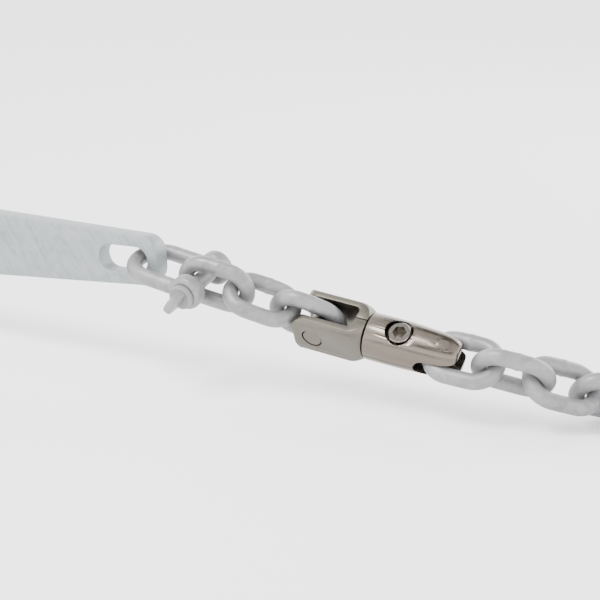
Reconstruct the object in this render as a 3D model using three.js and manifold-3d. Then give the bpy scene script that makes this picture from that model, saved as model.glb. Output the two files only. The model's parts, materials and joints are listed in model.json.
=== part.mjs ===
// Twin-fluke boat anchor with its shackle, chain and stainless swivel connector.
// Millimetres, +Z up. +X runs along the shank from the crown to the chain.
import * as THREE from 'three';
import { mergeVertices } from 'three/addons/utils/BufferGeometryUtils.js';
import Module from 'manifold-3d';

const wasm = await Module();
wasm.setup();

// ---- driving dimensions -------------------------------------------------
const GAP = 0.3;                 // running gap between neighbouring pieces
const WIRE = 8;                  // chain and shackle wire diameter
const LINK_INSIDE = 24.4;        // inside length of a chain link
const LINK_CLEAR = 12.4;         // inside width of a chain link
const LINK_GAP = 0.5;            // play between one link's wire and the next
const LINKS_BEFORE_SWIVEL = 3;
const LINKS_AFTER_SWIVEL = 5;

// The plate is deepest at the crown, narrows to the knee and then faster to its tip.
const SHANK = {
  length: 470, thick: 9.6, crownR: 27, tipHalf: 12.5, cornerR: 9, past: 6, kneeBack: 150, kneeHalf: 18.8,
};
const SLOT = { half: 6.8, length: 29 };
const BOW_SAG = 0.8;             // how far the bow hangs below the middle of the slot
const ROD_R = 8;                 // stock rod, which is also the fluke hinge
const ROD_HALF = 215;

const BOW = { reach: 37, halfWidth: 13, eyeR: 8.5, eyeThick: 8, seat: 7.8 };
const PIN_COLLAR = { r: 6.2, thick: 3, wing: 11, wingWide: 10, wingThick: 3.8, wingTurn: 66 };

const FORK = { back: 37, pin: 26.8, half: 11, cheek: 4.6, bridge: 6, pinR: 5, neck: 0.8 };
const SPINDLE = { r: 5, headR: 7.6, headFrom: 5, headTo: 8.4 };
const WASHER = { from: 3.5, to: 4.7 };
const BODY = { r: 11.5, length: 46, pin: 38.4, pinR: 3.2, slotFrom: 25.8, slotHalf: 4.8 };
const SCREW = { at: 16.2, r: 3, headR: 5.6, seat: 5.6, top: 10.4, tip: -8, recessR: 6.9, hex: 6 };

const FLUKE = { from: 14, length: 312, inner: 18, outer: 118, thick: 6, tip: 16, rib: 16 };
const SLEEVE = { r: 13, from: 18, to: 112 };
const CROWN = { from: -24, to: -78, near: 22, far: 36, thick: 6, half: 96, cheek: 8 };
const COLLAR = { r: 14, from: 113, thick: 10 };
const COTTER_R = 2;

// How each stretch lies: yaw turns towards +Y, pitch lifts the far end, and roll is how
// far the piece's own Z axis stands above the horizontal on the -Y side.
const ROD_HEIGHT = 30.2;
const LIE = {
  shank: { yaw: 0, pitch: 2.5, roll: 0 },
  flukes: { yaw: 0, pitch: -6.7, roll: 90 },
  shackle: { yaw: 0.5, pitch: -9, roll: -13 },
  before: { yaw: [11.6, 17.5, 17], pitch: [-12.6, -16.8, -18.2], roll: [-20, 63, -31] },
  fork: { yaw: 1.1, pitch: -5.6, roll: -31 },
  body: { yaw: 1.1, pitch: -5.6, roll: 52 },
  after: {
    yaw: [2.5, 18, 33, 34, 32], pitch: [-4.4, -12, -16, -13, -3], roll: [52, -38, 54, -32, 64],
  },
};

const ZINC = { color: 0xc9ccce, roughness: 0.55, metalness: 0.55 };
const STEEL = { color: 0xb3aca2, roughness: 0.24, metalness: 1 };
const BRONZE = { color: 0xa8814e, roughness: 0.4, metalness: 1 };

// ---- solids -------------------------------------------------------------
function solid(geometry) {
  const g = geometry.clone();
  g.deleteAttribute('normal');
  g.deleteAttribute('uv');
  const merged = mergeVertices(g, 1e-4);
  return new wasm.Manifold(new wasm.Mesh({
    numProp: 3,
    vertProperties: new Float32Array(merged.attributes.position.array),
    triVerts: new Uint32Array(merged.index.array),
  }));
}

function surface(shape) {
  const mesh = shape.getMesh();
  const g = new THREE.BufferGeometry();
  g.setAttribute('position', new THREE.BufferAttribute(new Float32Array(mesh.vertProperties), 3));
  g.setIndex(new THREE.BufferAttribute(new Uint32Array(mesh.triVerts), 1));
  g.computeVertexNormals();
  return g;
}

function box(low, high) {
  const size = high.map((value, i) => value - low[i]);
  const middle = high.map((value, i) => (value + low[i]) / 2);
  return solid(new THREE.BoxGeometry(...size).translate(...middle));
}

// A round bar along one axis, from one coordinate to another on that axis.
function bar(axis, radius, from, to, at = [0, 0, 0], sides = 24) {
  const g = new THREE.CylinderGeometry(radius, radius, to - from, sides);
  if (axis === 'x') g.rotateZ(-Math.PI / 2);
  if (axis === 'z') g.rotateX(Math.PI / 2);
  const middle = (from + to) / 2;
  const along = { x: [middle, 0, 0], y: [0, middle, 0], z: [0, 0, middle] }[axis];
  return solid(g.translate(...along.map((value, i) => value + at[i])));
}

// A profile of [x, radius] points turned about the X axis.
function turned(profile, segments = 32) {
  const points = profile.map(([x, r]) => new THREE.Vector2(r, x));
  return solid(new THREE.LatheGeometry(points, segments).rotateZ(-Math.PI / 2));
}

// An outline in the XY plane, extruded from one Z to another.
function plate(shape, from, to, curveSegments = 12) {
  const g = new THREE.ExtrudeGeometry(shape, {
    depth: to - from, bevelEnabled: false, steps: 1, curveSegments,
  });
  return solid(g.translate(0, 0, from));
}

// An outline drawn in the XZ plane, extruded from one Y to another.
function sidePlate(points, from, to) {
  const shape = new THREE.Shape(points.map(([x, z]) => new THREE.Vector2(x, z)));
  const g = new THREE.ExtrudeGeometry(shape, { depth: to - from, bevelEnabled: false });
  return solid(g.rotateX(Math.PI / 2).translate(0, to, 0));
}

// ---- curves -------------------------------------------------------------
// The centre line of a chain link: two half circles joined by two straights.
class LinkCurve extends THREE.Curve {
  getPoint(t, target = new THREE.Vector3()) {
    const r = (LINK_CLEAR + WIRE) / 2;
    const straight = LINK_INSIDE / 2 + WIRE / 2 - r;
    const arc = Math.PI * r;
    const total = 2 * arc + 4 * straight;
    const s = (t % 1) * total;
    if (s < arc) {
      const a = s / r - Math.PI / 2;
      return target.set(straight + r * Math.cos(a), r * Math.sin(a), 0);
    }
    if (s < arc + 2 * straight) return target.set(straight - (s - arc), r, 0);
    if (s < 2 * arc + 2 * straight) {
      const a = (s - arc - 2 * straight) / r + Math.PI / 2;
      return target.set(-straight + r * Math.cos(a), r * Math.sin(a), 0);
    }
    return target.set(-straight + (s - 2 * arc - 2 * straight), -r, 0);
  }
}

// The centre line of the shackle's bow, from eye to eye round its closed end at x = 0.
class BowCurve extends THREE.Curve {
  getPoint(t, target = new THREE.Vector3()) {
    const r = BOW.halfWidth;
    const leg = BOW.reach - r;
    const arc = Math.PI * r;
    const s = t * (arc + 2 * leg);
    if (s < leg) return target.set(BOW.reach - s, 0, -r);
    if (s > leg + arc) return target.set(r + (s - leg - arc), 0, r);
    const a = (s - leg) / r;
    return target.set(r - r * Math.sin(a), 0, -r * Math.cos(a));
  }
}

function wireSection(sides) {
  const corners = Array.from({ length: sides }, (_, i) => {
    const a = (2 * Math.PI * i) / sides;
    return new THREE.Vector2((WIRE / 2) * Math.cos(a), (WIRE / 2) * Math.sin(a));
  });
  return new THREE.Shape(corners);
}

// ---- anchor -------------------------------------------------------------
// x = 0 at the hinge rod; the far end is rounded and slotted.
function shankPlate() {
  const { length, thick, crownR, tipHalf, cornerR, past, kneeBack, kneeHalf } = SHANK;
  const corner = length + past - cornerR;
  const knee = length + past - kneeBack;
  const tipLean = Math.asin((kneeHalf - tipHalf) / (corner - knee));
  const crownLean = Math.asin((crownR - kneeHalf) / knee);
  const outline = new THREE.Shape();
  outline.absarc(corner, cornerR - tipHalf, cornerR, -Math.PI / 2 + tipLean, 0, false);
  outline.absarc(corner, tipHalf - cornerR, cornerR, 0, Math.PI / 2 - tipLean, false);
  outline.lineTo(knee, kneeHalf);
  outline.absarc(0, 0, crownR, Math.PI / 2 - crownLean, 1.5 * Math.PI + crownLean, false);
  outline.lineTo(knee, -kneeHalf);
  outline.closePath();
  const slot = new THREE.Path();
  const far = length - SLOT.half;
  const near = length - SLOT.length + SLOT.half;
  slot.absarc(far, 0, SLOT.half, -Math.PI / 2, Math.PI / 2, false);
  slot.absarc(near, 0, SLOT.half, Math.PI / 2, 1.5 * Math.PI, false);
  slot.closePath();
  const hole = new THREE.Path();
  hole.absarc(0, 0, ROD_R + GAP, 0, 2 * Math.PI, false);
  outline.holes.push(slot, hole);
  return plate(outline, -thick / 2, thick / 2);
}

// One fluke, a long pointed plate. side is +1 for the left fluke and -1 for the right.
function fluke(side) {
  const { from, length, inner, outer, thick, tip } = FLUKE;
  const shape = new THREE.Shape();
  shape.moveTo(from, inner);
  shape.lineTo(length, inner + tip);
  shape.lineTo(length - tip, inner + 2 * tip);
  shape.quadraticCurveTo(length * 0.45, outer * 0.97, from, outer);
  shape.closePath();
  const g = plate(shape, -thick / 2, thick / 2, 8);
  return side > 0 ? g : g.mirror([0, 1, 0]);
}

// A stiffening rib that stands on the fluke and runs out towards its point.
function flukeRib(side) {
  const base = FLUKE.thick / 2 + GAP;
  const start = FLUKE.from + 6;
  const points = [[start, base], [FLUKE.length - 70, base], [FLUKE.length - 70, base + 3],
    [start, base + FLUKE.rib]];
  const middle = 52 * side;
  return sidePlate(points, middle - 3, middle + 3);
}

function sleeve(side) {
  const low = side > 0 ? SLEEVE.from : -SLEEVE.to;
  const high = side > 0 ? SLEEVE.to : -SLEEVE.from;
  return bar('y', SLEEVE.r, low, high).subtract(bar('y', ROD_R + GAP, low - 1, high + 1));
}

// The upper (+1) or lower (-1) crown plate, which slopes outward behind the hinge.
function crownPlate(side) {
  const { from, to, near, far, thick, half } = CROWN;
  const points = [[to, far - thick], [from, near - thick], [from, near], [to, far]];
  const whole = sidePlate(points, -half, half);
  return side > 0 ? whole : whole.mirror([0, 0, 1]);
}

// A cheek beside the shank: it carries the rod and joins the two crown plates.
function crownCheek(side) {
  const { from, to, near, far, thick, cheek } = CROWN;
  const upper = [[from, near - thick - GAP], [to, far - thick - GAP]];
  const lower = upper.map(([x, z]) => [x, -z]).reverse();
  const low = side > 0 ? SHANK.thick / 2 + 2.5 : -SHANK.thick / 2 - 2.5 - cheek;
  const wedge = sidePlate([[0, 14], ...upper, ...lower, [0, -14]], low, low + cheek);
  return wedge.add(bar('y', 14, low, low + cheek, [0, 0, 0], 28))
    .subtract(bar('y', ROD_R + GAP, low - 1, low + cheek + 1));
}

function stockRod() {
  const end = 2;
  const profile = [[-ROD_HALF, 0], [-ROD_HALF, ROD_R - end], [-ROD_HALF + end, ROD_R],
    [ROD_HALF - end, ROD_R], [ROD_HALF, ROD_R - end], [ROD_HALF, 0]];
  const points = profile.map(([y, r]) => new THREE.Vector2(r, y));
  const rod = solid(new THREE.LatheGeometry(points, 24));
  const at = COLLAR.from + COLLAR.thick / 2;
  return rod.subtract(bar('z', COTTER_R + GAP, -20, 20, [0, at, 0], 12))
    .subtract(bar('z', COTTER_R + GAP, -20, 20, [0, -at, 0], 12));
}

function stockCollar(side) {
  const low = side > 0 ? COLLAR.from : -COLLAR.from - COLLAR.thick;
  const ring = bar('y', COLLAR.r, low, low + COLLAR.thick)
    .subtract(bar('y', ROD_R + GAP, low - 1, low + COLLAR.thick + 1));
  return ring.subtract(bar('z', COTTER_R + GAP, -20, 20, [0, low + COLLAR.thick / 2, 0], 12));
}

function cotter(side) {
  const at = side * (COLLAR.from + COLLAR.thick / 2);
  return bar('z', COTTER_R, -COLLAR.r - 4, COLLAR.r + 1, [0, at, 0], 12)
    .add(bar('z', 2 * COTTER_R, COLLAR.r + 0.6, COLLAR.r + 4, [0, at, 0], 12));
}

// ---- shackle ------------------------------------------------------------
function shackleBow() {
  const g = new THREE.ExtrudeGeometry(wireSection(12), {
    steps: 26, bevelEnabled: false, extrudePath: new BowCurve(),
  });
  const { reach, halfWidth, eyeR, eyeThick } = BOW;
  const at = [reach, 0, 0];
  const eye = (z) => bar('z', eyeR, z - eyeThick / 2, z + eyeThick / 2, at, 28);
  return solid(g).add(eye(halfWidth)).add(eye(-halfWidth))
    .subtract(bar('z', WIRE / 2 + GAP, -2 * halfWidth, 2 * halfWidth, at));
}

// The pin, with its collar and flat wing on the near (+Z) side. The wing stops where the
// thread tightens, turned by wingTurn about the pin.
function shacklePin() {
  const outside = BOW.halfWidth + BOW.eyeThick / 2;
  const { r, thick, wing, wingWide, wingThick, wingTurn } = PIN_COLLAR;
  const foot = outside + GAP + thick;
  const top = foot + wing - 5;
  const blade = box([-wingWide / 2, -wingThick / 2, foot - 1], [wingWide / 2, wingThick / 2, top])
    .add(bar('y', wingWide / 2, -wingThick / 2, wingThick / 2, [0, 0, top]))
    .rotate([0, 0, wingTurn]);
  return bar('z', WIRE / 2, -outside - 1, foot - 1)
    .add(bar('z', r, outside + GAP, foot)).add(blade);
}

function chainLink() {
  return solid(new THREE.TubeGeometry(new LinkCurve(), 24, WIRE / 2, 10, true));
}

// ---- swivel connector ---------------------------------------------------
// x = 0 at the swivel joint. The fork lies on its -x side, with its pin along Z.
function swivelFork() {
  const { back, pin, half, cheek, bridge, pinR, neck } = FORK;
  const nose = 7;
  const side = new THREE.Shape();
  side.moveTo(-neck, -half);
  side.lineTo(-neck, half);
  side.lineTo(-back + nose, half);
  side.quadraticCurveTo(-back, half, -back, 0);
  side.quadraticCurveTo(-back, -half, -back + nose, -half);
  side.closePath();
  const block = plate(side, -half, half, 6);
  const envelope = turned([[-back - 1, 0], [-back - 1, 14.2], [-neck - 6, 14.2],
    [-neck - 2.5, 13], [-neck, BODY.r - 0.6], [-neck, 0]], 40);
  const gapHalf = half - cheek;
  const mouth = box([-back - 2, -20, -gapHalf], [-neck - bridge - gapHalf / 2, 20, gapHalf])
    .add(box([-back, -20, -gapHalf / 2], [-neck - bridge, 20, gapHalf / 2]))
    .add(bar('y', gapHalf / 2, -20, 20, [-neck - bridge - gapHalf / 2, 0, gapHalf / 2], 16))
    .add(bar('y', gapHalf / 2, -20, 20, [-neck - bridge - gapHalf / 2, 0, -gapHalf / 2], 16));
  const spindle = turned([[-neck - 1, 0], [-neck - 1, SPINDLE.r], [SPINDLE.headFrom, SPINDLE.r],
    [SPINDLE.headFrom, SPINDLE.headR], [SPINDLE.headTo, SPINDLE.headR], [SPINDLE.headTo, 0]], 24);
  return block.intersect(envelope).subtract(mouth)
    .subtract(bar('z', pinR + GAP, -20, 20, [-pin, 0, 0])).add(spindle);
}

function forkPin() {
  return bar('z', FORK.pinR, -FORK.half + 0.2, FORK.half - 0.2, [-FORK.pin, 0, 0], 28);
}

function thrustWasher() {
  return bar('x', SPINDLE.headR, WASHER.from, WASHER.to)
    .subtract(bar('x', SPINDLE.r + GAP, WASHER.from - 1, WASHER.to + 1));
}

// The bullet-shaped body before it is split: spindle chamber, screw hole and link slot.
function bodyBlank() {
  const { r, length, pin, pinR, slotFrom, slotHalf } = BODY;
  const outside = turned([[0, 0], [0, r - 0.6], [0.6, r], [12, r], [25, r - 0.4], [36, r - 1.1],
    [40, r - 1.7], [43, r - 2.5], [45, r - 3.4], [length - 0.3, r - 4.3], [length, r - 4.9],
    [length, 0]], 40);
  const chamber = turned([[-1, 0], [-1, SPINDLE.r + GAP], [WASHER.from - GAP, SPINDLE.r + GAP],
    [WASHER.from - GAP, SPINDLE.headR + GAP], [SPINDLE.headTo + GAP, SPINDLE.headR + GAP],
    [SPINDLE.headTo + GAP, 0]], 24);
  const slot = box([slotFrom + slotHalf, -20, -slotHalf], [length + 2, 20, slotHalf])
    .add(bar('y', slotHalf, -20, 20, [slotFrom + slotHalf, 0, 0], 24));
  const at = [SCREW.at, 0, 0];
  return outside.subtract(chamber).subtract(slot)
    .subtract(bar('z', SCREW.recessR, SCREW.seat - GAP, 20, at, 32))
    .subtract(bar('z', SCREW.r + GAP, SCREW.tip - GAP, 20, at))
    .subtract(bar('z', pinR + GAP, -20, 20, [pin, 0, 0]));
}

function bodyHalf(side) {
  const low = side > 0 ? GAP / 2 : -20;
  const high = side > 0 ? 20 : -GAP / 2;
  return bodyBlank().intersect(box([-1, -20, low], [BODY.length + 1, 20, high]));
}

function capScrew() {
  const { at, r, headR, seat, top, tip, hex } = SCREW;
  const socket = new THREE.CylinderGeometry(hex / Math.sqrt(3), hex / Math.sqrt(3), 4, 6)
    .rotateX(Math.PI / 2).translate(at, 0, top - 0.6);
  return bar('z', r, tip, seat + 1, [at, 0, 0]).add(bar('z', headR, seat, top, [at, 0, 0], 32))
    .subtract(solid(socket));
}

// Flush cross pin in the nose, rounded to the body's outside.
function nosePin() {
  const reach = BODY.r - 2;
  return bar('z', BODY.pinR, -reach, reach, [BODY.pin, 0, 0]);
}

// ---- placing ------------------------------------------------------------
const anchor = new THREE.Group();

function piece(parent, name, shape, look) {
  const mesh = new THREE.Mesh(surface(shape), new THREE.MeshStandardMaterial(look));
  mesh.name = name;
  parent.add(mesh);
}

function direction({ yaw, pitch }) {
  const y = THREE.MathUtils.degToRad(yaw);
  const p = THREE.MathUtils.degToRad(pitch);
  return new THREE.Vector3(Math.cos(p) * Math.cos(y), Math.cos(p) * Math.sin(y), Math.sin(p));
}

// A group at a point, with its X axis along the lie and its Z axis turned by the roll.
function stand(name, at, lie) {
  const x = direction(lie);
  const side = new THREE.Vector3().crossVectors(x, new THREE.Vector3(0, 0, 1)).normalize();
  const up = new THREE.Vector3().crossVectors(side, x);
  const roll = THREE.MathUtils.degToRad(lie.roll);
  const z = side.multiplyScalar(Math.cos(roll)).addScaledVector(up, Math.sin(roll));
  const y = new THREE.Vector3().crossVectors(z, x);
  const group = new THREE.Group();
  group.name = name;
  group.quaternion.setFromRotationMatrix(new THREE.Matrix4().makeBasis(x, y, z));
  group.position.copy(at);
  anchor.add(group);
  return group;
}

function ahead(point, lie, distance) {
  return point.clone().addScaledVector(direction(lie), distance);
}

const crownAt = new THREE.Vector3(0, 0, ROD_HEIGHT);
const shank = stand('at_shank', crownAt, LIE.shank);
piece(shank, 'anchor_shank', shankPlate(), ZINC);

const flukes = stand('at_flukes', crownAt, LIE.flukes);
for (const [word, side] of [['left', 1], ['right', -1]]) {
  piece(flukes, `fluke_${word}`, fluke(side), ZINC);
  piece(flukes, `fluke_rib_${word}`, flukeRib(side), ZINC);
  piece(flukes, `fluke_sleeve_${word}`, sleeve(side), ZINC);
  piece(flukes, `crown_cheek_${word}`, crownCheek(side), ZINC);
  piece(flukes, `stock_collar_${word}`, stockCollar(side), ZINC);
  piece(flukes, `stock_cotter_${word}`, cotter(side), STEEL);
}
piece(flukes, 'crown_plate_upper', crownPlate(1), ZINC);
piece(flukes, 'crown_plate_lower', crownPlate(-1), ZINC);
piece(flukes, 'stock_rod', stockRod(), ZINC);

const bowAt = ahead(crownAt, LIE.shank, SHANK.length - BOW.seat);
bowAt.z -= BOW_SAG;
const shackle = stand('at_shackle', bowAt, LIE.shackle);
piece(shackle, 'shackle_bow', shackleBow(), ZINC);
const pinAt = ahead(bowAt, LIE.shackle, BOW.reach);
const shacklePinGroup = stand('at_shackle_pin', pinAt, LIE.shackle);
piece(shacklePinGroup, 'shackle_pin', shacklePin(), ZINC);

// Wire centre at a link's end is this far from the link's middle.
const LINK_END = LINK_INSIDE / 2 + WIRE / 2;

// Hangs a run of links, the first on a pin and each next one in the end of the last.
function chainRun(start, pinRadius, lies, firstNumber) {
  let middle = ahead(start, lies[0], LINK_INSIDE / 2 - pinRadius - GAP);
  lies.forEach((lie, i) => {
    if (i > 0) {
      const wire = ahead(middle, lies[i - 1], LINK_END);
      const mean = direction(lies[i - 1]).add(direction(lie)).normalize();
      const seat = wire.addScaledVector(mean, -WIRE - LINK_GAP);
      middle = ahead(seat, lie, LINK_END);
    }
    const number = firstNumber + i;
    piece(stand(`at_link_${number}`, middle, lie), `chain_link_${number}`, chainLink(), ZINC);
  });
  return middle;
}

function lies({ yaw, pitch, roll }, count) {
  return Array.from({ length: count }, (_, i) => ({ yaw: yaw[i], pitch: pitch[i], roll: roll[i] }));
}

const before = lies(LIE.before, LINKS_BEFORE_SWIVEL);
const lastBefore = chainRun(pinAt, WIRE / 2, before, 1);
const forkPinAt = ahead(lastBefore, before.at(-1), LINK_INSIDE / 2 - FORK.pinR - GAP);
const swivelAt = ahead(forkPinAt, LIE.fork, FORK.pin);
const fork = stand('at_fork', swivelAt, LIE.fork);
piece(fork, 'swivel_fork', swivelFork(), STEEL);
piece(fork, 'fork_pin', forkPin(), STEEL);

const body = stand('at_body', swivelAt, LIE.body);
piece(body, 'swivel_thrust_washer', thrustWasher(), BRONZE);
piece(body, 'swivel_body_upper', bodyHalf(1), STEEL);
piece(body, 'swivel_body_lower', bodyHalf(-1), STEEL);
piece(body, 'swivel_body_screw', capScrew(), STEEL);
piece(body, 'swivel_nose_pin', nosePin(), STEEL);

const after = lies(LIE.after, LINKS_AFTER_SWIVEL);
const nosePinAt = ahead(swivelAt, LIE.body, BODY.pin);
chainRun(nosePinAt, BODY.pinR, after, LINKS_BEFORE_SWIVEL + 1);

// The origin is the middle of the assembly's footprint, on the ground.
const bounds = new THREE.Box3().setFromObject(anchor, true);
const centre = bounds.getCenter(new THREE.Vector3());
anchor.position.set(-centre.x, -centre.y, -bounds.min.z);
anchor.updateMatrixWorld(true);

export default anchor;
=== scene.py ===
import json
import math

import bpy
import numpy as np
from mathutils import Matrix, Vector


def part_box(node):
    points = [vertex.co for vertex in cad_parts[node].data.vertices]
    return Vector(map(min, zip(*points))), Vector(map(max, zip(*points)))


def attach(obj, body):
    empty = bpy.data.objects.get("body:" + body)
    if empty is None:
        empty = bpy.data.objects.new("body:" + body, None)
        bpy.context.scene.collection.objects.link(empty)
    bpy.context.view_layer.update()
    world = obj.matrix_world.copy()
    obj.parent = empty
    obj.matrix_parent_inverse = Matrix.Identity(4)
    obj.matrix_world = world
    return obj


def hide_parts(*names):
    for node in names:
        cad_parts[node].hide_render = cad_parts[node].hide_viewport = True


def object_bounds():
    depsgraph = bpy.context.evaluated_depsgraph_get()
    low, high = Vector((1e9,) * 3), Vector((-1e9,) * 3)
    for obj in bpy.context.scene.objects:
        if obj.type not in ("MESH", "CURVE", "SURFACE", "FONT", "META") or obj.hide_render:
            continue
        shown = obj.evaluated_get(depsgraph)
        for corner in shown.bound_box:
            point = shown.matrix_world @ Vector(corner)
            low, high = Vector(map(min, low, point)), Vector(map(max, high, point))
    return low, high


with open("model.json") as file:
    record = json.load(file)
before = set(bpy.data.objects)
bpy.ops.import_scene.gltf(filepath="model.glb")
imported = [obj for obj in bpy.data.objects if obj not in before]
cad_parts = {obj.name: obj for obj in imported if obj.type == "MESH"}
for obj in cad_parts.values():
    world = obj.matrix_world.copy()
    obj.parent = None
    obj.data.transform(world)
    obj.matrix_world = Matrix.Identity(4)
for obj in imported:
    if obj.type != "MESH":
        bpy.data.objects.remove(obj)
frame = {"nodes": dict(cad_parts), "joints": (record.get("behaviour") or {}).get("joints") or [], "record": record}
cad_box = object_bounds()
joints = {joint["name"]: joint for joint in frame["joints"]}
mounts = {mount["name"]: mount for mount in frame["record"]["mounts"]}

MM = 0.001

# ---- dimensions of the pieces, in millimetres ----------------------------
WIRE_R = 4
LINK_BEND = 10.2             # radius of a link's round end, at the wire's centre
LINK_STRAIGHT = 6            # half the length of a link's straight sides
LINK_SIDES, LINK_BEND_STEPS = 20, 14
WELD = ((4.6, 0), (1.0, 0.22), (0.8, 0.1), (1.0, -0.32), (4.6, 0))  # steps, and change of radius

SHANK_LENGTH, SHANK_HALF_THICK = 470, 4.8
SHANK_CROWN_R, SHANK_TIP_HALF, SHANK_CORNER, SHANK_PAST = 27, 12.5, 9, 6
KNEE_BACK, KNEE_HALF = 150, 18.8
SLOT_R, SLOT_LENGTH = 6.8, 29

BOW_REACH, BOW_HALF, EYE_R, EYE_THICK, EYE_BEVEL = 37, 13, 8.5, 8, 1.6
BOW_SIDES, BOW_BEND_STEPS, FORGING_VOXEL = 24, 20, 0.5
COLLAR_R, COLLAR_THICK, WING_HALF, WING_THICK, WING_STRAIGHT = 6.2, 3, 5, 3.8, 6
WING_TURN = 66

FORK_BACK, FORK_PIN, FORK_HALF, FORK_CHEEK, FORK_BRIDGE = 37, 26.8, 11, 4.6, 6
FORK_PIN_R, FORK_NECK, SPINDLE_R, HEAD_R, HEAD_FROM, HEAD_TO = 5, 0.8, 5, 7.6, 5, 8.4
FORK_CORNER, MOUTH_CORNER, SLIT_DEEP, SLIT_HALF = 6, 2.5, 2.2, 0.3

BODY_R, BODY_LENGTH, NOSE_PIN, NOSE_PIN_R = 11.5, 46, 38.4, 3.2
NOSE_DROPS = ((12, 0), (19, 0.12), (25, 0.4), (31, 0.72), (36, 1.1), (40, 1.7), (43, 2.5),
              (44.3, 3.1), (45.1, 3.6), (45.6, 4.1), (45.9, 4.7))  # along, and below BODY_R
CHAMBER_FROM = 3.2
LINK_SLOT_FROM, LINK_SLOT_HALF = 25.8, 4.8
SCREW_AT, SCREW_R, SCREW_HEAD_R, SCREW_SEAT, SCREW_TOP = 16.2, 3, 5.6, 5.6, 10.4
RECESS_R, SCREW_TIP, HEX_FLATS, HEX_DEEP = 6.9, -8, 6, 3.6

ROD_R, ROD_HALF, SLEEVE_R, SLEEVE_FROM, SLEEVE_TO = 8, 215, 13, 18, 112
RING_R, RING_FROM, RING_THICK, COTTER_R = 14, 113, 10, 2
FLUKE_FROM, FLUKE_TO, FLUKE_INNER, FLUKE_OUTER, FLUKE_TIP, FLUKE_HALF = 14, 312, 18, 118, 16, 3
RIB_HIGH, RIB_MIDDLE, RIB_HALF, RIB_END = 16, 52, 3, 242
CROWN_FROM, CROWN_TO, CROWN_NEAR, CROWN_FAR, CROWN_THICK, CROWN_HALF = -24, -78, 22, 36, 6, 96
CHEEK_FROM, CHEEK_THICK, CHEEK_R = 7.5, 8, 14
GAP = 0.3
SHORT_TOOL, TOOL, LONG_TOOL = 10, 20, 30    # how far a cutting tool reaches, past the piece


# ---- shader expressions ---------------------------------------------------
class Value:
    """A node's output. Arithmetic on it adds Math nodes."""

    def __init__(self, finish, socket):
        self.finish = finish
        self.socket = socket

    def math(self, operation, other):
        return self.finish.node("ShaderNodeMath", {"operation": operation}, {0: self, 1: other})

    def __add__(self, other):
        return self.math("ADD", other)

    def __mul__(self, other):
        return self.math("MULTIPLY", other)


class Finish:
    """One material: a Principled shader, and nodes that vary it over the surface."""

    def __init__(self, name, **constants):
        self.material = bpy.data.materials.new(name)
        self.material.use_nodes = True
        self.tree = self.material.node_tree
        self.shader = self.tree.nodes["Principled BSDF"]
        for socket, value in constants.items():
            self.shader.inputs[socket.replace("_", " ")].default_value = value

    def node(self, kind, settings=None, inputs=None, output=0):
        node = self.tree.nodes.new(kind)
        for name, value in (settings or {}).items():
            setattr(node, name, value)
        for name, value in (inputs or {}).items():
            self.feed(node.inputs[name], value)
        return Value(self, node.outputs[output])

    def feed(self, socket, value):
        if isinstance(value, Value):
            self.tree.links.new(value.socket, socket)
        else:
            socket.default_value = value

    def varies(self, socket, value):
        self.feed(self.shader.inputs[socket], value)

    def place(self, scale=(1, 1, 1), turn=(0, 0, 0)):
        """The piece's own coordinates, turned first and then scaled."""
        here = self.node("ShaderNodeTexCoord", output="Object")
        turned_here = self.node("ShaderNodeMapping", {}, {"Vector": here, "Rotation": turn})
        return self.node("ShaderNodeMapping", {}, {"Vector": turned_here, "Scale": scale})

    def noise(self, scale, detail=4, roughness=0.55, where=None):
        inputs = {"Scale": scale, "Detail": detail, "Roughness": roughness}
        inputs["Vector"] = where or self.place()
        return self.node("ShaderNodeTexNoise", {}, inputs)

    def range(self, value, low, high, to_low, to_high):
        inputs = {"Value": value, "From Min": low, "From Max": high,
                  "To Min": to_low, "To Max": to_high}
        return self.node("ShaderNodeMapRange", {"clamp": True}, inputs)

    def blend(self, factor, first, second):
        node = self.tree.nodes.new("ShaderNodeMix")
        node.data_type = "RGBA"
        self.feed(node.inputs["Factor"], factor)
        for socket, value in ((node.inputs[6], first), (node.inputs[7], second)):
            self.feed(socket, value if isinstance(value, Value) else (*value, 1))
        return Value(self, node.outputs[2])

    def bump(self, height, strength, distance):
        inputs = {"Height": height, "Strength": strength, "Distance": distance}
        self.varies("Normal", self.node("ShaderNodeBump", {}, inputs))


def galvanised(name, pale, dark, brushed=False):
    """Hot-dip zinc: a cloudy pale grey with a faint spangle and small pits."""
    zinc = Finish(name, Metallic=0.35)
    clouds = zinc.noise(55, 5, 0.6)
    spangle = zinc.node("ShaderNodeTexVoronoi", {"feature": "F1"},
                        {"Vector": zinc.place(), "Scale": 260}, "Color")
    grey = zinc.node("ShaderNodeRGBToBW", {}, {"Color": spangle})
    patch = zinc.range(clouds * 0.75 + grey * 0.25, 0.3, 0.7, 0, 1)
    colour = zinc.blend(patch, dark, pale)
    pits = zinc.noise(900, 3, 0.6)
    height = clouds * 0.5 + pits * 0.25
    rough = zinc.range(clouds, 0.3, 0.7, 0.36, 0.52)
    if brushed:
        strokes = zinc.noise(16, 5, 0.65, zinc.place((50, 3, 3), (0, 0.55, 0)))
        crossed = zinc.noise(26, 5, 0.7, zinc.place((40, 4, 4), (0, 0.75, 0)))
        marks = zinc.range(strokes * 0.6 + crossed * 0.4, 0.4, 0.62, 0, 1)
        colour = zinc.blend(marks * 0.55, colour, tuple(c * 1.28 for c in pale))
        height = height + marks * 0.4
        rough = rough + marks * 0.08
    zinc.varies("Base Color", colour)
    zinc.varies("Roughness", rough)
    zinc.bump(height, 0.35, 0.0003)
    return zinc.material


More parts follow.
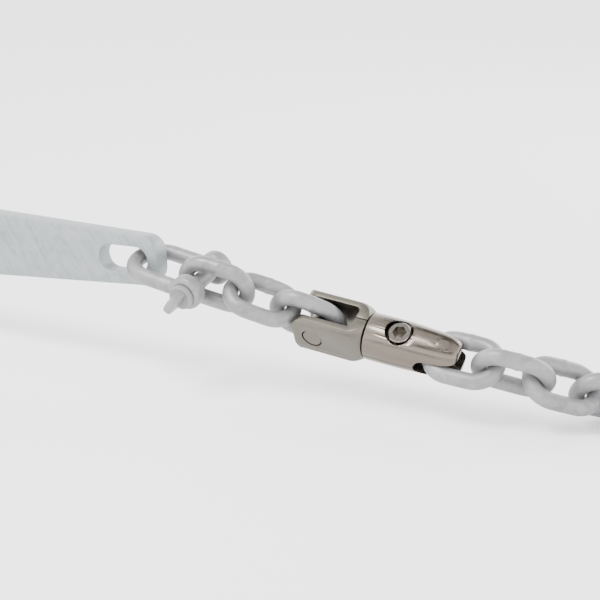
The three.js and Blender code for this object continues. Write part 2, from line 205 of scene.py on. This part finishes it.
def stainless(name, colour, roughness, along=(1, 1, 1)):
    """Satin-polished stainless: fine polishing lines and a slow change of gloss."""
    steel = Finish(name, Metallic=1.0)
    lines = steel.noise(700, 3, 0.6, steel.place(along))
    slow = steel.noise(60, 3)
    shade = steel.range(lines * 0.5 + slow * 0.5, 0.35, 0.65, 0, 1)
    steel.varies("Base Color", steel.blend(shade, tuple(c * 0.86 for c in colour), colour))
    steel.varies("Roughness", steel.range(shade, 0, 1, roughness - 0.04, roughness + 0.05))
    steel.bump(lines, 0.12, 0.00008)
    return steel.material


def bronze(name):
    metal = Finish(name, Metallic=1.0)
    turning = metal.noise(800, 3)
    metal.varies("Base Color", metal.blend(turning, (0.40, 0.26, 0.11), (0.58, 0.40, 0.19)))
    metal.varies("Roughness", metal.range(turning, 0.3, 0.7, 0.32, 0.45))
    return metal.material


ZINC_PLATE = galvanised("galvanised_plate", (0.25, 0.27, 0.278), (0.18, 0.198, 0.205), True)
ZINC_CHAIN = galvanised("galvanised_chain", (0.25, 0.248, 0.252), (0.155, 0.155, 0.16))
ZINC_SHACKLE = galvanised("galvanised_shackle", (0.245, 0.241, 0.241), (0.15, 0.148, 0.15))
STEEL_BODY = stainless("satin_stainless", (0.15, 0.128, 0.108), 0.25, (0.15, 1, 1))
STEEL_FORK = stainless("blasted_stainless", (0.13, 0.12, 0.10), 0.32)
STEEL_BRIGHT = stainless("bright_stainless", (0.20, 0.182, 0.16), 0.22)
BRONZE = bronze("turned_bronze")


# ---- modelling helpers ------------------------------------------------------
def vector(*millimetres):
    return Vector(millimetres) * MM


def clear_selection():
    if bpy.context.object and bpy.context.object.mode != "OBJECT":
        bpy.ops.object.mode_set(mode="OBJECT")
    bpy.ops.object.select_all(action="DESELECT")


def pick(piece):
    clear_selection()
    bpy.context.view_layer.objects.active = piece
    piece.select_set(True)


def freeze(piece):
    """Works the piece's place, turn and scale into its mesh."""
    pick(piece)
    bpy.ops.object.transform_apply(location=True, rotation=True, scale=True)
    return piece


def edit(piece):
    pick(piece)
    bpy.ops.object.mode_set(mode="EDIT")
    bpy.ops.mesh.select_all(action="SELECT")


def close(piece):
    """Merges doubles, turns every face outwards and leaves edit mode."""
    edit(piece)
    bpy.ops.mesh.remove_doubles(threshold=0.00001)
    bpy.ops.mesh.normals_make_consistent(inside=False)
    bpy.ops.object.mode_set(mode="OBJECT")
    return piece


def line(name, points):
    """A run of edges through the points, drawn by extruding one vertex."""
    clear_selection()
    bpy.ops.mesh.primitive_plane_add(size=MM)
    piece = bpy.context.object
    piece.name = name
    edit(piece)
    bpy.ops.mesh.merge(type="CENTER")
    bpy.ops.transform.translate(value=points[0])
    for here, there in zip(points, points[1:]):
        bpy.ops.mesh.extrude_vertices_move(TRANSFORM_OT_translate={"value": there - here})
    bpy.ops.mesh.select_all(action="SELECT")
    return piece


def turned(name, profile, axis="x", steps=64):
    """A profile of (along, radius) points spun once round an axis."""
    places = {"x": lambda a, r: vector(a, r, 0), "y": lambda a, r: vector(0, a, r),
              "z": lambda a, r: vector(r, 0, a)}
    axes = {"x": (1, 0, 0), "y": (0, 1, 0), "z": (0, 0, 1)}
    piece = line(name, [places[axis](a, r) for a, r in profile])
    bpy.ops.mesh.spin(steps=steps, angle=2 * math.pi, center=(0, 0, 0), axis=axes[axis])
    return close(piece)


def round_bar(name, radius, low, high, axis="z", at=(0, 0, 0), bevel=0.0, steps=48):
    """A bar, with chamfered ends where a bevel is given."""
    profile = [(low, 0), (low, radius - bevel), (low + bevel, radius),
               (high - bevel, radius), (high, radius - bevel), (high, 0)]
    if not bevel:
        profile = [(low, 0), (low, radius), (high, radius), (high, 0)]
    return shift(turned(name, profile, axis, steps), at)


def shift(piece, at):
    edit(piece)
    bpy.ops.transform.translate(value=vector(*at))
    bpy.ops.object.mode_set(mode="OBJECT")
    return piece


def plate(name, outline, low, high):
    """An outline of (x, y) points, extruded along Z."""
    piece = line(name, [vector(x, y, low) for x, y in [*outline, outline[0]]])
    bpy.ops.mesh.remove_doubles(threshold=0.000001)
    bpy.ops.mesh.edge_face_add()
    bpy.ops.mesh.extrude_region_move(TRANSFORM_OT_translate={"value": vector(0, 0, high - low)})
    return close(piece)


def block(name, low, high):
    corners = [(low[0], low[1]), (high[0], low[1]), (high[0], high[1]), (low[0], high[1])]
    return plate(name, corners, low[2], high[2])


def stand_up(piece, at=(0, 0, 0)):
    """Turns a plate drawn in the XY plane so that its outline lies in the XZ plane."""
    piece.matrix_world = Matrix.Translation(vector(*at)) @ Matrix.Rotation(math.pi / 2, 4, "X")
    return freeze(piece)


def arc(centre, radius, start, end, count):
    """Points on an arc, in degrees, both ends included."""
    angles = [math.radians(start + (end - start) * i / count) for i in range(count + 1)]
    return [(centre[0] + radius * math.cos(a), centre[1] + radius * math.sin(a)) for a in angles]


def apply(piece, kind, **settings):
    pick(piece)
    modifier = piece.modifiers.new(kind.lower(), kind)
    for name, value in settings.items():
        setattr(modifier, name, value)
    bpy.ops.object.modifier_apply(modifier=modifier.name)
    return piece


def combine(piece, tool, operation):
    apply(piece, "BOOLEAN", object=tool, operation=operation, solver="EXACT")
    bpy.data.objects.remove(tool)
    return piece


def cut(piece, tool):
    return combine(piece, tool, "DIFFERENCE")


def join(piece, tool):
    return combine(piece, tool, "UNION")


def soften(piece, width, segments=3, angle=32):
    apply(piece, "BEVEL", width=width * MM, segments=segments, limit_method="ANGLE",
          angle_limit=math.radians(angle), harden_normals=False, miter_outer="MITER_ARC")
    return smooth(piece)


def smooth(piece, angle=38):
    pick(piece)
    bpy.ops.object.shade_smooth_by_angle(angle=math.radians(angle))
    return piece


def axes_at(origin, x, z):
    """The frame of a piece: its own X and Z axes at a point."""
    x = Vector(x).normalized()
    y = Vector(z).cross(x).normalized()
    z = x.cross(y)
    frame_matrix = Matrix((x, y, z)).transposed().to_4x4()
    frame_matrix.translation = Vector(origin)
    return frame_matrix


def settle(piece, matrix, node, body, material):
    """Puts a finished piece in its place, where it stands for a CAD node."""
    piece.name = node + "_finished"
    piece.matrix_world = matrix
    freeze(piece)
    piece.data.materials.clear()
    piece.data.materials.append(material)
    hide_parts(node)
    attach(piece, body)
    return piece


# ---- where each assembly stands ------------------------------------------------
crown = Vector(joints["fluke_swing"]["pos_m"])
bow_end = Vector(joints["shackle_swing"]["pos_m"])
shackle_pin_at = Vector(joints["link_1_swing"]["pos_m"])
fork_pin_at = Vector(joints["fork_swing"]["pos_m"])
swivel_at = Vector(joints["swivel_turn"]["pos_m"])
fluke_top = -Vector(mounts["fluke_left_underside"]["axis"])

AT_SHANK = axes_at(crown, bow_end - crown, (0, -1, 0))
AT_FLUKES = axes_at(crown, Vector((0, 1, 0)).cross(fluke_top), fluke_top)
AT_SHACKLE = axes_at(bow_end, shackle_pin_at - bow_end, joints["link_1_swing"]["axis"])
AT_PIN = axes_at(shackle_pin_at, shackle_pin_at - bow_end, joints["link_1_swing"]["axis"])
AT_FORK = axes_at(swivel_at, joints["swivel_turn"]["axis"], joints["fork_swing"]["axis"])
AT_BODY = axes_at(swivel_at, joints["swivel_turn"]["axis"], joints["link_4_swing"]["axis"])


def link_place(node):
    """A link's own axes: the longest way of its solid is X and the thinnest is Z."""
    low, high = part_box(node)
    points = np.array([vertex.co for vertex in frame["nodes"][node].data.vertices])
    spread = np.cov((points - points.mean(axis=0)).T)
    thin, _, long = np.linalg.eigh(spread)[1].T
    return axes_at((low + high) / 2, long, thin)


# ---- camera, floor and light ------------------------------------------------------
CAMERA_YAW = 28          # degrees that the camera stands round towards the chain's end
CAMERA_RISE = 17.6       # degrees above the horizontal
CAMERA_ROLL = 0.5
CAMERA_AWAY = 0.684      # metres from the aim point
LENS_ANGLE = 24
WORLD_LIGHT = 4.8
LOOK_SIDE, LOOK_UP = -0.0104, 0.0107   # the aim point, sideways and up from the fork pin
FLOOR_SIZE, FLOOR_BELOW = 12, 0.0005


def make_camera():
    yaw, rise = math.radians(CAMERA_YAW), math.radians(CAMERA_RISE)
    away = Vector((math.sin(yaw) * math.cos(rise), -math.cos(yaw) * math.cos(rise), math.sin(rise)))
    turn = away.to_track_quat("Z", "Y").to_matrix()
    turn = turn @ Matrix.Rotation(math.radians(CAMERA_ROLL), 3, "Z")
    aim = fork_pin_at + turn @ Vector((LOOK_SIDE, LOOK_UP, 0))
    camera = bpy.data.objects.new("camera", bpy.data.cameras.new("camera"))
    bpy.context.scene.collection.objects.link(camera)
    camera.data.angle = math.radians(LENS_ANGLE)
    camera.data.clip_start = 0.01
    camera.matrix_world = turn.to_4x4()
    camera.location = aim + away * CAMERA_AWAY
    bpy.context.scene.camera = camera


def area_light(name, at, size, power, colour=(1, 1, 1)):
    light = bpy.data.lights.new(name, "AREA")
    light.size = size
    light.energy = power
    light.color = colour
    holder = bpy.data.objects.new(name, light)
    bpy.context.scene.collection.objects.link(holder)
    holder.location = fork_pin_at + Vector(at)
    holder.rotation_euler = (-Vector(at)).to_track_quat("-Z", "Y").to_euler()


def make_world():
    """Soft light from all round: strongest low down, and weaker overhead."""
    world = bpy.data.worlds.new("studio")
    world.use_nodes = True
    nodes, links = world.node_tree.nodes, world.node_tree.links
    ray = nodes.new("ShaderNodeTexCoord")
    split = nodes.new("ShaderNodeSeparateXYZ")
    ramp = nodes.new("ShaderNodeValToRGB")
    links.new(ray.outputs["Generated"], split.inputs["Vector"])
    links.new(split.outputs["Z"], ramp.inputs["Fac"])
    links.new(ramp.outputs["Color"], nodes["Background"].inputs["Color"])
    stops = ((0.0, 0.9), (0.25, 1.0), (0.55, 0.7), (0.85, 0.45))
    while len(ramp.color_ramp.elements) < len(stops):
        ramp.color_ramp.elements.new(1.0)
    for stop, (position, grey) in zip(ramp.color_ramp.elements, stops):
        stop.position = position
        stop.color = (grey, grey, grey, 1)
    nodes["Background"].inputs["Strength"].default_value = WORLD_LIGHT
    bpy.context.scene.world = world


def dark_card(name, at, width, height):
    """A grey card outside the view, for the darker bands in the polished steel."""
    clear_selection()
    bpy.ops.mesh.primitive_plane_add(size=1, location=fork_pin_at + Vector(at))
    card = bpy.context.object
    card.name = name
    card.rotation_euler = Vector(at).to_track_quat("Z", "Y").to_euler()
    card.scale = (width, height, 1)
    cloth = Finish(name + "_cloth", Roughness=1.0)
    cloth.varies("Base Color", (0.03, 0.028, 0.025, 1))
    card.data.materials.append(cloth.material)


def make_studio():
    clear_selection()
    bpy.ops.mesh.primitive_plane_add(size=FLOOR_SIZE, location=(0, 0, cad_box[0][2] - FLOOR_BELOW))
    floor = bpy.context.object
    floor.name = "studio_floor"
    paper = Finish("studio_paper", Roughness=0.9)
    paper.varies("Base Color", (0.97, 0.97, 0.97, 1))
    floor.data.materials.append(paper.material)
    make_world()
    area_light("key", (-0.25, -0.35, 0.75), 0.35, 9)
    area_light("rim", (0.35, 0.75, 0.65), 0.5, 7)
    dark_card("flag_front", (0.25, -0.62, 0.52), 0.9, 0.22)
    dark_card("flag_low", (0.1, -0.5, 0.02), 1.0, 0.05)
    dark_card("flag_back", (0.1, 0.5, 0.62), 0.9, 0.3)


make_camera()
make_studio()


# ---- chain --------------------------------------------------------------------------
def spin_end(x):
    bpy.ops.mesh.spin(steps=LINK_BEND_STEPS, angle=-math.pi, center=vector(x, 0, 0), axis=(0, 0, 1))


def make_link():
    """One welded link: a wire section spun round both ends and drawn along both sides."""
    clear_selection()
    bpy.ops.mesh.primitive_circle_add(
        vertices=LINK_SIDES, radius=WIRE_R * MM, rotation=(0, math.pi / 2, 0),
        location=vector(LINK_STRAIGHT, -LINK_BEND, 0))
    piece = freeze(bpy.context.object)
    edit(piece)
    spin_end(LINK_STRAIGHT)
    # The side with the weld: a slight swelling round the middle.
    for step, swell in WELD:
        bpy.ops.mesh.extrude_region_move(TRANSFORM_OT_translate={"value": vector(-step, 0, 0)})
        ring = 1 + swell / WIRE_R
        bpy.ops.transform.resize(value=(1, ring, ring))
    spin_end(-LINK_STRAIGHT)
    bpy.ops.mesh.extrude_region_move(
        TRANSFORM_OT_translate={"value": vector(2 * LINK_STRAIGHT, 0, 0)})
    close(piece)
    apply(piece, "SUBSURF", levels=1, render_levels=1)
    return smooth(piece, 180)


def make_chain():
    pattern = make_link()
    for number in range(1, 9):
        copy = pattern.copy()
        copy.data = pattern.data.copy()
        bpy.context.scene.collection.objects.link(copy)
        node = f"chain_link_{number}"
        settle(copy, link_place(node), node, f"link_{number}", ZINC_CHAIN)
    bpy.data.objects.remove(pattern)


# ---- shackle ------------------------------------------------------------------------
def make_shackle():
    clear_selection()
    bpy.ops.mesh.primitive_circle_add(
        vertices=BOW_SIDES, radius=WIRE_R * MM, fill_type="NGON", rotation=(0, math.pi / 2, 0),
        location=vector(BOW_REACH, 0, -BOW_HALF))
    bow = freeze(bpy.context.object)
    edit(bow)
    leg = BOW_REACH - BOW_HALF
    bpy.ops.mesh.extrude_region_move(TRANSFORM_OT_translate={"value": vector(-leg, 0, 0)})
    bpy.ops.mesh.spin(steps=BOW_BEND_STEPS, angle=-math.pi, center=vector(BOW_HALF, 0, 0),
                      axis=(0, 1, 0))
    bpy.ops.mesh.extrude_region_move(TRANSFORM_OT_translate={"value": vector(leg, 0, 0)})
    close(bow)
    for side in (-1, 1):
        middle = side * BOW_HALF
        eye = round_bar("eye", EYE_R, middle - EYE_THICK / 2, middle + EYE_THICK / 2,
                        at=(BOW_REACH, 0, 0), bevel=EYE_BEVEL)
        join(bow, eye)
    # The forging has no sharp joins, so the bow and eyes are worked into one soft skin.
    apply(bow, "REMESH", mode="VOXEL", voxel_size=FORGING_VOXEL * MM)
    apply(bow, "SMOOTH", factor=0.5, iterations=8)
    cut(bow, round_bar("bore", WIRE_R + GAP, -LONG_TOOL, LONG_TOOL, at=(BOW_REACH, 0, 0)))
    smooth(bow, 50)
    settle(bow, AT_SHACKLE, "shackle_bow", "shackle", ZINC_SHACKLE)

    outside = BOW_HALF + EYE_THICK / 2
    foot = outside + GAP + COLLAR_THICK
    profile = [(-outside - 1, 0), (-outside - 1, WIRE_R - 1), (-outside, WIRE_R),
               (outside + GAP, WIRE_R), (outside + GAP, COLLAR_R - 0.5),
               (outside + GAP + 0.5, COLLAR_R), (foot - 0.7, COLLAR_R), (foot, COLLAR_R - 0.8),
               (foot, 0)]
    pin = turned("pin", profile, "z")
    blade = plate("blade", [(-WING_HALF, 0), (WING_HALF, 0),
                            *arc((0, WING_STRAIGHT + 1), WING_HALF, 0, 180, 16)],
                  -WING_THICK / 2, WING_THICK / 2)
    stand_up(blade, (0, 0, foot - 1))
    blade.matrix_world = Matrix.Rotation(math.radians(WING_TURN), 4, "Z")
    soften(freeze(blade), 1.0)
    join(pin, blade)
    smooth(pin)
    settle(pin, AT_PIN, "shackle_pin", "shackle", ZINC_SHACKLE)


# ---- shank --------------------------------------------------------------------------
def make_shank():
    end = SHANK_LENGTH + SHANK_PAST - SHANK_CORNER
    side = SHANK_TIP_HALF - SHANK_CORNER
    knee = SHANK_LENGTH + SHANK_PAST - KNEE_BACK
    lean = math.degrees(math.asin((KNEE_HALF - SHANK_TIP_HALF) / (end - knee)))
    crown_lean = math.degrees(math.asin((SHANK_CROWN_R - KNEE_HALF) / knee))
    outline = [*arc((end, -side), SHANK_CORNER, -90 + lean, 0, 16),
               *arc((end, side), SHANK_CORNER, 0, 90 - lean, 16), (knee, KNEE_HALF),
               *arc((0, 0), SHANK_CROWN_R, 90 - crown_lean, 270 + crown_lean, 40),
               (knee, -KNEE_HALF)]
    shank = plate("shank", outline, -SHANK_HALF_THICK, SHANK_HALF_THICK)
    far, near = SHANK_LENGTH - SLOT_R, SHANK_LENGTH - SLOT_LENGTH + SLOT_R
    slot = [*arc((far, 0), SLOT_R, -90, 90, 24), *arc((near, 0), SLOT_R, 90, 270, 24)]
    cut(shank, plate("slot", slot, -SHORT_TOOL, SHORT_TOOL))
    cut(shank, round_bar("rod_hole", ROD_R + GAP, -SHORT_TOOL, SHORT_TOOL))
    soften(shank, 0.7)
    settle(shank, AT_SHANK, "anchor_shank", "shank", ZINC_PLATE)


# ---- swivel connector -----------------------------------------------------------------
def make_fork():
    half = FORK_HALF
    back, edge = -FORK_BACK + FORK_CORNER, half - FORK_CORNER
    side = [(-FORK_NECK, -half), (-FORK_NECK, half),
            *arc((back, edge), FORK_CORNER, 90, 172, 10),
            *arc((back, -edge), FORK_CORNER, 188, 270, 10)]
    fork = plate("fork", side, -half, half)
    soften(fork, 0.3, 2)
    # Turned round the swivel's axis, so that its shoulder closes in to meet the body.
    envelope = [(-40, 0), (-40, 14.4), (-7.5, 14.4), (-5.4, 14.0), (-3.4, 13.1), (-1.8, 12.0),
                (-FORK_NECK, BODY_R - 0.5), (-FORK_NECK, 0)]
    combine(fork, turned("envelope", envelope), "INTERSECT")
    gap = half - FORK_CHEEK
    inner = -FORK_NECK - FORK_BRIDGE
    turn_x, turn_y = inner - MOUTH_CORNER, gap - MOUTH_CORNER
    mouth = [(-FORK_BACK - 4, -gap), *arc((turn_x, -turn_y), MOUTH_CORNER, -90, 0, 8),
             *arc((turn_x, turn_y), MOUTH_CORNER, 0, 90, 8), (-FORK_BACK - 4, gap)]
    cut(fork, stand_up(plate("mouth", mouth, -TOOL, TOOL)))
    cut(fork, round_bar("bore", FORK_PIN_R + GAP, -TOOL, TOOL, at=(-FORK_PIN, 0, 0), steps=64))
    cut(fork, block("slit", (inner - 1, half - SLIT_DEEP, -SLIT_HALF),
                    (FORK_NECK, half + 2, SLIT_HALF)))
    soften(fork, 0.45, 3, 40)
    spindle = turned("spindle", [(-2, 0), (-2, SPINDLE_R), (HEAD_FROM, SPINDLE_R),
                                 (HEAD_FROM, HEAD_R), (HEAD_TO, HEAD_R), (HEAD_TO, 0)])
    join(fork, spindle)
    smooth(fork)
    settle(fork, AT_FORK, "swivel_fork", "fork", STEEL_FORK)

    pin = round_bar("fork_pin", FORK_PIN_R, -half + 0.2, half - 0.2, at=(-FORK_PIN, 0, 0), bevel=0.4)
    smooth(pin)
    settle(pin, AT_FORK, "fork_pin", "fork", STEEL_FORK)


def bullet(name):
    """The outside of the swivel body: a long cylinder with a rounded, blunt nose."""
    return turned(name, [(0, 0), (0, BODY_R - 0.5), (0.15, BODY_R - 0.15), (0.5, BODY_R),
                         *[(along, BODY_R - drop) for along, drop in NOSE_DROPS],
                         (BODY_LENGTH, BODY_R - 5.2), (BODY_LENGTH, 0)], steps=96)


def link_slot():
    """The slot for the link, right across the body, with a round inner end."""
    inner = LINK_SLOT_FROM + LINK_SLOT_HALF
    outline = [(BODY_LENGTH + 4, LINK_SLOT_HALF), *arc((inner, 0), LINK_SLOT_HALF, 90, 270, 24),
               (BODY_LENGTH + 4, -LINK_SLOT_HALF)]
    return stand_up(plate("slot", outline, -TOOL, TOOL))


def make_body():
    for side, word in ((1, "upper"), (-1, "lower")):
        half = bullet("half")
        low, high = (GAP / 2, TOOL) if side > 0 else (-TOOL, -GAP / 2)
        keep = block("keep", (-1, -TOOL, low), (BODY_LENGTH + 1, TOOL, high))
        combine(half, keep, "INTERSECT")
        chamber = turned("chamber", [(-1, 0), (-1, SPINDLE_R + GAP), (CHAMBER_FROM, SPINDLE_R + GAP),
                                     (CHAMBER_FROM, HEAD_R + GAP), (HEAD_TO + GAP, HEAD_R + GAP),
                                     (HEAD_TO + GAP, 0)])
        cut(half, chamber)
        cut(half, link_slot())
        screw_at = (SCREW_AT, 0, 0)
        if side > 0:
            cut(half, round_bar("recess", RECESS_R, SCREW_SEAT - GAP, TOOL, at=screw_at, steps=64))
        cut(half, round_bar("screw_hole", SCREW_R + GAP, SCREW_TIP - GAP, TOOL, at=screw_at))
        cut(half, round_bar("pin_hole", NOSE_PIN_R + 0.12, -TOOL, TOOL, at=(NOSE_PIN, 0, 0)))
        soften(half, 0.28, 3, 40)
        settle(half, AT_BODY, f"swivel_body_{word}", "swivel_body", STEEL_BODY)

    screw = round_bar("screw", SCREW_HEAD_R, SCREW_SEAT, SCREW_TOP, at=screw_at, bevel=0.5,
                      steps=64)
    join(screw, round_bar("thread", SCREW_R, SCREW_TIP, SCREW_SEAT + 1, at=screw_at, bevel=0.4))
    hexagon = arc((SCREW_AT, 0), HEX_FLATS / math.sqrt(3), 15, 315, 5)
    cut(screw, plate("socket", hexagon, SCREW_TOP - HEX_DEEP, SCREW_TOP + 2))
    soften(screw, 0.18, 2, 40)
    settle(screw, AT_BODY, "swivel_body_screw", "swivel_body", STEEL_BRIGHT)

    pin = round_bar("nose_pin", NOSE_PIN_R, -12, 12, at=(NOSE_PIN, 0, 0))
    combine(pin, bullet("flush"), "INTERSECT")
    soften(pin, 0.15, 2, 40)
    settle(pin, AT_BODY, "swivel_nose_pin", "swivel_body", STEEL_BODY)


# ---- flukes, crown and stock ------------------------------------------------------------
def settle_fluke_piece(piece, node, material=ZINC_PLATE):
    settle(piece, AT_FLUKES, node, "flukes", material)


def side_plate(name, outline, low, high):
    """An outline of (x, z) points, extruded along Y."""
    return stand_up(plate(name, outline, -high, -low))


def tube(name, radius, low, high):
    outside = round_bar(name, radius, low, high, "y", bevel=0.8)
    return cut(outside, round_bar("bore", ROD_R + GAP, low - 5, high + 5, "y"))


def make_flukes():
    start = Vector((FLUKE_TO - FLUKE_TIP, FLUKE_INNER + 2 * FLUKE_TIP))
    bend = Vector((FLUKE_TO * 0.45, FLUKE_OUTER * 0.97))
    end = Vector((FLUKE_FROM, FLUKE_OUTER))
    steps = [i / 16 for i in range(17)]
    edge = [(1 - t) ** 2 * start + 2 * t * (1 - t) * bend + t * t * end for t in steps]
    outline = [(FLUKE_FROM, FLUKE_INNER), (FLUKE_TO, FLUKE_INNER + FLUKE_TIP),
               *[tuple(point) for point in edge]]
    rib = [(FLUKE_FROM + 6, FLUKE_HALF + GAP), (RIB_END, FLUKE_HALF + GAP),
           (RIB_END, FLUKE_HALF + GAP + 3), (FLUKE_FROM + 6, FLUKE_HALF + GAP + RIB_HIGH)]
    for word, side in (("left", 1), ("right", -1)):
        mirrored = [(x, side * y) for x, y in outline]
        fluke = plate("fluke", mirrored, -FLUKE_HALF, FLUKE_HALF)
        settle_fluke_piece(soften(fluke, 1.2), f"fluke_{word}")
        middle = side * RIB_MIDDLE
        stiffener = side_plate("rib", rib, middle - RIB_HALF, middle + RIB_HALF)
        settle_fluke_piece(soften(stiffener, 0.8), f"fluke_rib_{word}")
        ends = sorted((side * SLEEVE_FROM, side * SLEEVE_TO))
        settle_fluke_piece(smooth(tube("sleeve", SLEEVE_R, *ends)), f"fluke_sleeve_{word}")


def make_crown():
    face = [(CROWN_TO, CROWN_FAR - CROWN_THICK), (CROWN_FROM, CROWN_NEAR - CROWN_THICK),
            (CROWN_FROM, CROWN_NEAR), (CROWN_TO, CROWN_FAR)]
    for word, side in (("upper", 1), ("lower", -1)):
        crown_plate = side_plate("crown", [(x, side * z) for x, z in face], -CROWN_HALF, CROWN_HALF)
        settle_fluke_piece(soften(crown_plate, 1.0), f"crown_plate_{word}")
    near = CROWN_NEAR - CROWN_THICK - GAP
    far = CROWN_FAR - CROWN_THICK - GAP
    wedge = [(0, CHEEK_R), (CROWN_FROM, near), (CROWN_TO, far), (CROWN_TO, -far),
             (CROWN_FROM, -near), (0, -CHEEK_R)]
    for word, side in (("left", 1), ("right", -1)):
        low, high = sorted((side * CHEEK_FROM, side * (CHEEK_FROM + CHEEK_THICK)))
        cheek = side_plate("cheek", wedge, low, high)
        join(cheek, round_bar("boss", CHEEK_R, low, high, "y", steps=64))
        cut(cheek, round_bar("bore", ROD_R + GAP, low - 5, high + 5, "y"))
        settle_fluke_piece(soften(cheek, 0.7), f"crown_cheek_{word}")


def make_stock():
    rod = round_bar("rod", ROD_R, -ROD_HALF, ROD_HALF, "y", bevel=2, steps=64)
    for word, side in (("left", 1), ("right", -1)):
        low, high = sorted((side * RING_FROM, side * (RING_FROM + RING_THICK)))
        middle = (0, (low + high) / 2, 0)
        ring = tube("ring", RING_R, low, high)
        for drilled in (ring, rod):
            hole = round_bar("hole", COTTER_R + GAP, -LONG_TOOL, LONG_TOOL, at=middle, steps=24)
            cut(drilled, hole)
        settle_fluke_piece(smooth(ring), f"stock_collar_{word}")
        cotter = round_bar("cotter", COTTER_R, -RING_R - 4, RING_R + 1, at=middle, bevel=0.5, steps=24)
        join(cotter, round_bar("head", 2 * COTTER_R, RING_R + 0.6, RING_R + 4, at=middle, bevel=1))
        settle_fluke_piece(smooth(cotter), f"stock_cotter_{word}", STEEL_BRIGHT)
    settle_fluke_piece(smooth(rod), "stock_rod")


make_chain()
make_shackle()
make_shank()
make_fork()
make_body()
make_flukes()
make_crown()
make_stock()

# The washer keeps its CAD mesh, so the CAD nodes take the finish of their slot.
FINISHES = {"galvanised_plate": ZINC_PLATE, "galvanised_chain": ZINC_CHAIN,
            "galvanised_shackle": ZINC_SHACKLE, "polished_stainless": STEEL_BRIGHT,
            "bronze_washer": BRONZE}
for part in frame["record"]["subparts"]:
    node = frame["nodes"][part["node"]]
    node.data.materials.clear()
    node.data.materials.append(FINISHES[part["material_slot"]])
